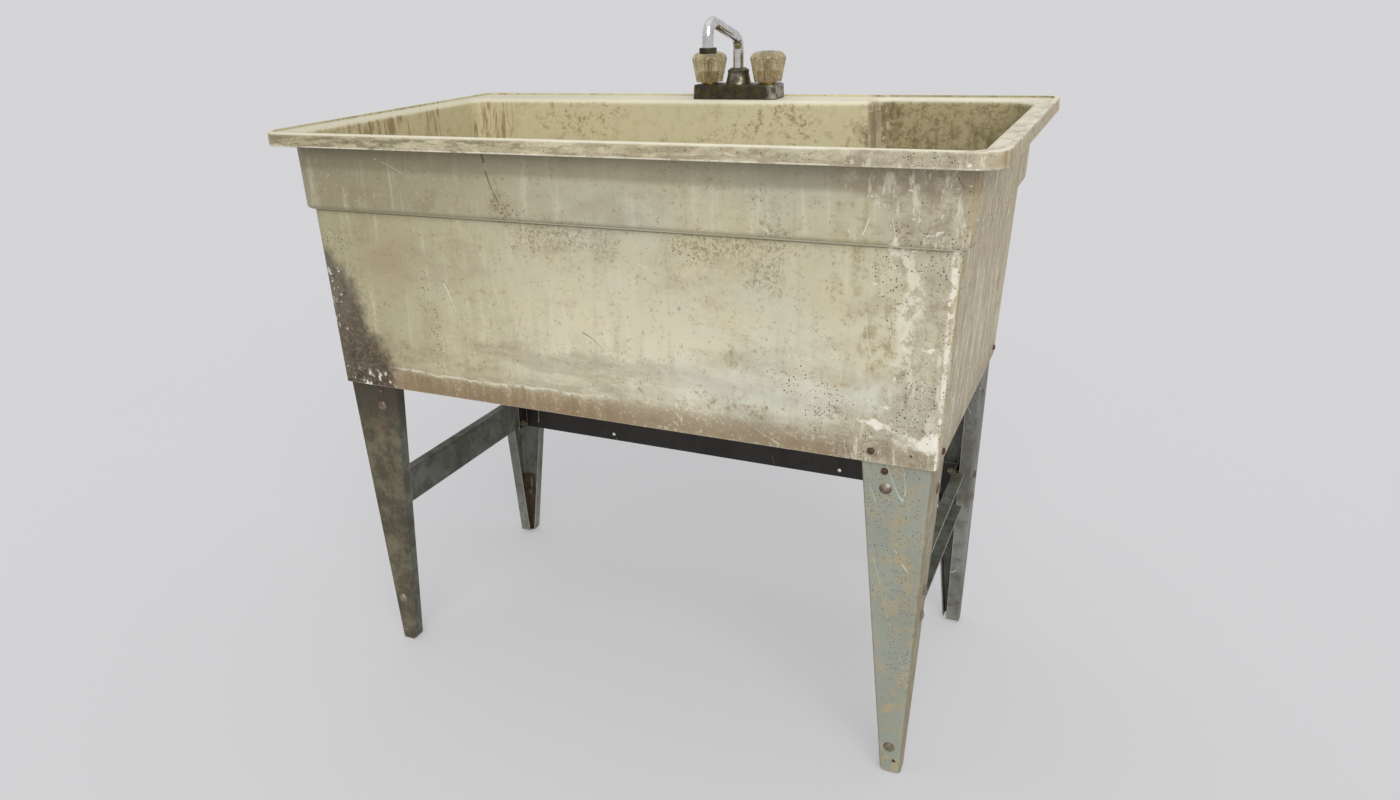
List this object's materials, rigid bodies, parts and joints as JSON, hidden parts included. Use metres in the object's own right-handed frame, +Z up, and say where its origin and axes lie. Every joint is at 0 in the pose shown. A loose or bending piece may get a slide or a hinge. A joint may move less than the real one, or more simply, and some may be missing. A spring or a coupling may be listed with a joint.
{
  "type": "utility laundry sink",
  "caption": "Floor-standing laundry sink: deep moulded tub with rolled rim and tap shelf on folded corner legs with braces and levelling feet, and a two-handle tap with swivel spout.",
  "frame": {"origin": "on the floor, under the middle of the rim", "axes": "+Z up, front of the sink towards -Y, +X to the right of someone facing it"},
  "size_m": [1.016, 0.61, 0.9951],
  "materials": {
    "tub": "aged gelcoat, satin",
    "leg_steel": "worn paint",
    "foot_steel": "zinc plated, dull",
    "brace_steel": "dark worn paint",
    "fastener": "dull plated",
    "drain_steel": "satin",
    "drain_plastic": "matte",
    "rubber": "matte",
    "brass": "machined",
    "tap_plate": "tarnished",
    "chrome": "polished, pitted",
    "acrylic": "clear, yellowed",
    "cap": "gloss"
  },
  "bodies": {
    "stand": {"basin": "tub", "leg_front_left": "leg_steel", "leg_front_right": "leg_steel", "leg_back_left": "leg_steel", "leg_back_right": "leg_steel", "brace_left": "brace_steel", "brace_right": "brace_steel", "back_rail": "brace_steel", "clamp_bolts": "fastener", "clamp_nuts": "fastener", "leg_bolts": "fastener", "leg_nuts": "fastener", "leg_screws": "fastener", "skirt_screws": "fastener", "brace_bolts": "fastener", "brace_nuts": "fastener", "drain_strainer": "drain_steel", "drain_locknut": "drain_plastic", "tail_washer": "drain_plastic", "tail_nut": "drain_plastic", "tailpiece": "drain_plastic", "shank_nuts": "drain_plastic", "drain_gasket": "rubber", "tap_pad": "rubber", "shank_washers": "rubber", "tap_body": "brass", "bonnets": "brass", "packing_nuts": "brass", "tap_cover": "tap_plate", "spout_hub": "chrome", "spout_nut": "chrome"},
    "front_left_foot": {"foot_front_left": "foot_steel"},
    "front_right_foot": {"foot_front_right": "foot_steel"},
    "back_left_foot": {"foot_back_left": "foot_steel"},
    "back_right_foot": {"foot_back_right": "foot_steel"},
    "hot_washer": {"seat_washer_hot": "rubber"},
    "hot_handle": {"stem_hot": "brass", "handle_hot": "acrylic", "handle_screw_hot": "fastener", "index_cap_hot": "cap"},
    "cold_washer": {"seat_washer_cold": "rubber"},
    "cold_handle": {"stem_cold": "brass", "handle_cold": "acrylic", "handle_screw_cold": "fastener", "index_cap_cold": "cap"},
    "swivel_spout": {"spout": "chrome", "o_ring": "rubber", "end_nut": "tap_plate", "aerator_screen": "drain_steel"}
  },
  "joints": [
    {"name": "front_left_foot_slide", "type": "slide", "parent": "stand", "child": "front_left_foot", "axis": [0.0518, 0.0623, -0.9967], "range_m": [0, 0.025]},
    {"name": "front_right_foot_slide", "type": "slide", "parent": "stand", "child": "front_right_foot", "axis": [-0.0518, 0.0623, -0.9967], "range_m": [0, 0.025]},
    {"name": "back_left_foot_slide", "type": "slide", "parent": "stand", "child": "back_left_foot", "axis": [0.031, -0.031, -0.999], "range_m": [0, 0.025]},
    {"name": "back_right_foot_slide", "type": "slide", "parent": "stand", "child": "back_right_foot", "axis": [-0.031, -0.031, -0.999], "range_m": [0, 0.025]},
    {"name": "hot_lift", "type": "slide", "parent": "stand", "child": "hot_washer", "axis": [0, 0, 1], "range_m": [0, 0.0026]},
    {"name": "hot_turn", "type": "hinge", "parent": "hot_washer", "child": "hot_handle", "pos_m": [-0.0368, 0.262, 0.9], "axis": [0, 0, 1], "range_deg": [0, 450]},
    {"name": "cold_lift", "type": "slide", "parent": "stand", "child": "cold_washer", "axis": [0, 0, 1], "range_m": [0, 0.0026]},
    {"name": "cold_turn", "type": "hinge", "parent": "cold_washer", "child": "cold_handle", "pos_m": [0.0648, 0.262, 0.9], "axis": [0, 0, 1], "range_deg": [0, 450]},
    {"name": "spout_swivel", "type": "hinge", "parent": "stand", "child": "swivel_spout", "pos_m": [0.014, 0.262, 0.9], "axis": [0, 0, 1], "continuous": true}
  ],
  "couplings": [
    {"joint": "hot_turn", "follows": "hot_lift", "rad_per_m": 3020.7},
    {"joint": "cold_turn", "follows": "cold_lift", "rad_per_m": 3020.7}
  ]
}
